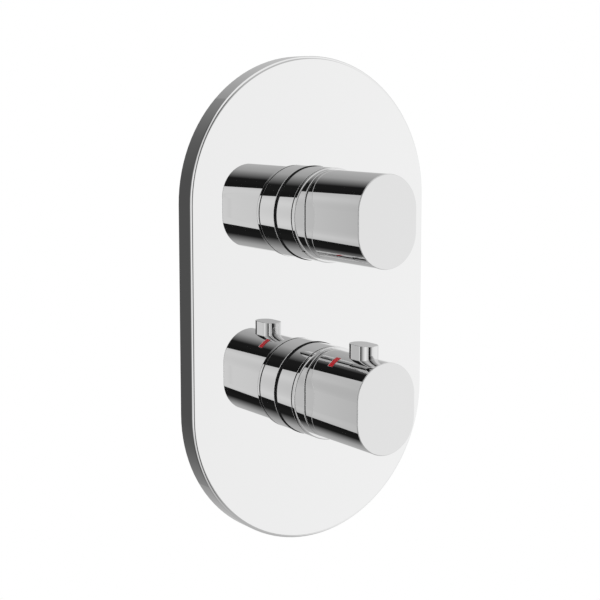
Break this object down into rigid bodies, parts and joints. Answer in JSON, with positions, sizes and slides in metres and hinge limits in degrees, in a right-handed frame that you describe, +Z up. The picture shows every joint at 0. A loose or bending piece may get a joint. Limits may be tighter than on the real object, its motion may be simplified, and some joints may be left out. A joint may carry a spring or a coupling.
{
  "type": "concealed mixer valve",
  "caption": "Built-in thermostatic shower mixer: an oblong mirror-chrome plate with an upper flow knob and a lower temperature knob with safety button, and the brass valve body in the wall.",
  "frame": {"origin": "middle of the cover plate's back, on the finished wall, half way between the two knobs", "axes": "+Z up, -Y straight out of the wall towards the user, +X to the user's right, +Y into the wall"},
  "size_m": [0.12, 0.1341, 0.206],
  "materials": {
    "chrome": "mirror-polished chrome plate",
    "black_rubber": "matte moulded rubber",
    "brass": "as cast and turned",
    "stainless_steel": "plain bright steel",
    "grey_plastic": "moulded, fine texture",
    "ceramic": "lapped",
    "copper_element": "drawn copper alloy",
    "galvanised_steel": "zinc plated",
    "red_enamel": "glossy red enamel"
  },
  "bodies": {
    "fixed": {"cover_plate": "chrome", "upper_collar": "chrome", "lower_collar": "chrome", "plate_gasket": "black_rubber", "upper_collar_seal": "black_rubber", "lower_collar_seal": "black_rubber", "flow_disc_seal": "black_rubber", "thermostat_orings": "black_rubber", "valve_body": "brass", "upper_sleeve": "brass", "lower_sleeve": "brass", "flow_nut": "brass", "thermostat_nut": "brass", "bracket_screws": "stainless_steel", "return_spring": "stainless_steel", "hot_check_spring": "stainless_steel", "cold_check_spring": "stainless_steel", "hot_filter": "stainless_steel", "cold_filter": "stainless_steel", "flow_housing": "grey_plastic", "thermostat_housing": "grey_plastic", "thermostat_end_cap": "grey_plastic", "stop_ring": "grey_plastic", "hot_check_cage": "grey_plastic", "cold_check_cage": "grey_plastic", "flow_fixed_disc": "ceramic", "wall_bracket": "galvanised_steel"},
    "flow_knob": {"flow_handle": "chrome", "flow_insert": "grey_plastic", "flow_grub_screw": "stainless_steel", "flow_spindle": "brass", "flow_spindle_oring": "black_rubber", "flow_moving_disc": "ceramic"},
    "temperature_knob": {"temperature_handle": "chrome", "temperature_mark": "red_enamel", "temperature_insert": "grey_plastic", "temperature_grub_screw": "stainless_steel", "temperature_spindle": "brass", "temperature_spindle_oring": "black_rubber", "button_spring": "stainless_steel"},
    "button": {"safety_button": "chrome"},
    "regulator": {"regulating_screw": "grey_plastic", "overload_spring": "stainless_steel", "wax_element": "copper_element", "shuttle": "grey_plastic"},
    "hot_poppet": {"hot_check_poppet": "grey_plastic"},
    "cold_poppet": {"cold_check_poppet": "grey_plastic"}
  },
  "joints": [
    {"name": "flow_turn", "type": "hinge", "parent": "fixed", "child": "flow_knob", "pos_m": [0, 0, 0.0375], "axis": [0, -1, 0], "range_deg": [-90, 90]},
    {"name": "temperature_turn", "type": "hinge", "parent": "fixed", "child": "temperature_knob", "pos_m": [0, 0, -0.0375], "axis": [0, -1, 0], "range_deg": [-150, 0]},
    {"name": "button_press", "type": "slide", "parent": "temperature_knob", "child": "button", "axis": [0, 0, -1], "range_m": [0, 0.002], "stiffness_N_per_m": 1200, "springref_m": -0.001, "deforming": ["button_spring"]},
    {"name": "regulator_slide", "type": "slide", "parent": "fixed", "child": "regulator", "axis": [0, 1, 0], "range_m": [0, 0.001]},
    {"name": "hot_check_travel", "type": "slide", "parent": "fixed", "child": "hot_poppet", "axis": [1, 0, 0], "range_m": [0, 0.003], "stiffness_N_per_m": 100, "springref_m": -0.002, "deforming": ["hot_check_spring"]},
    {"name": "cold_check_travel", "type": "slide", "parent": "fixed", "child": "cold_poppet", "axis": [-1, 0, 0], "range_m": [0, 0.003], "stiffness_N_per_m": 100, "springref_m": -0.002, "deforming": ["cold_check_spring"]}
  ],
  "couplings": [
    {"joint": "regulator_slide", "follows": "temperature_turn", "m_per_rad": -0.00038}
  ]
}
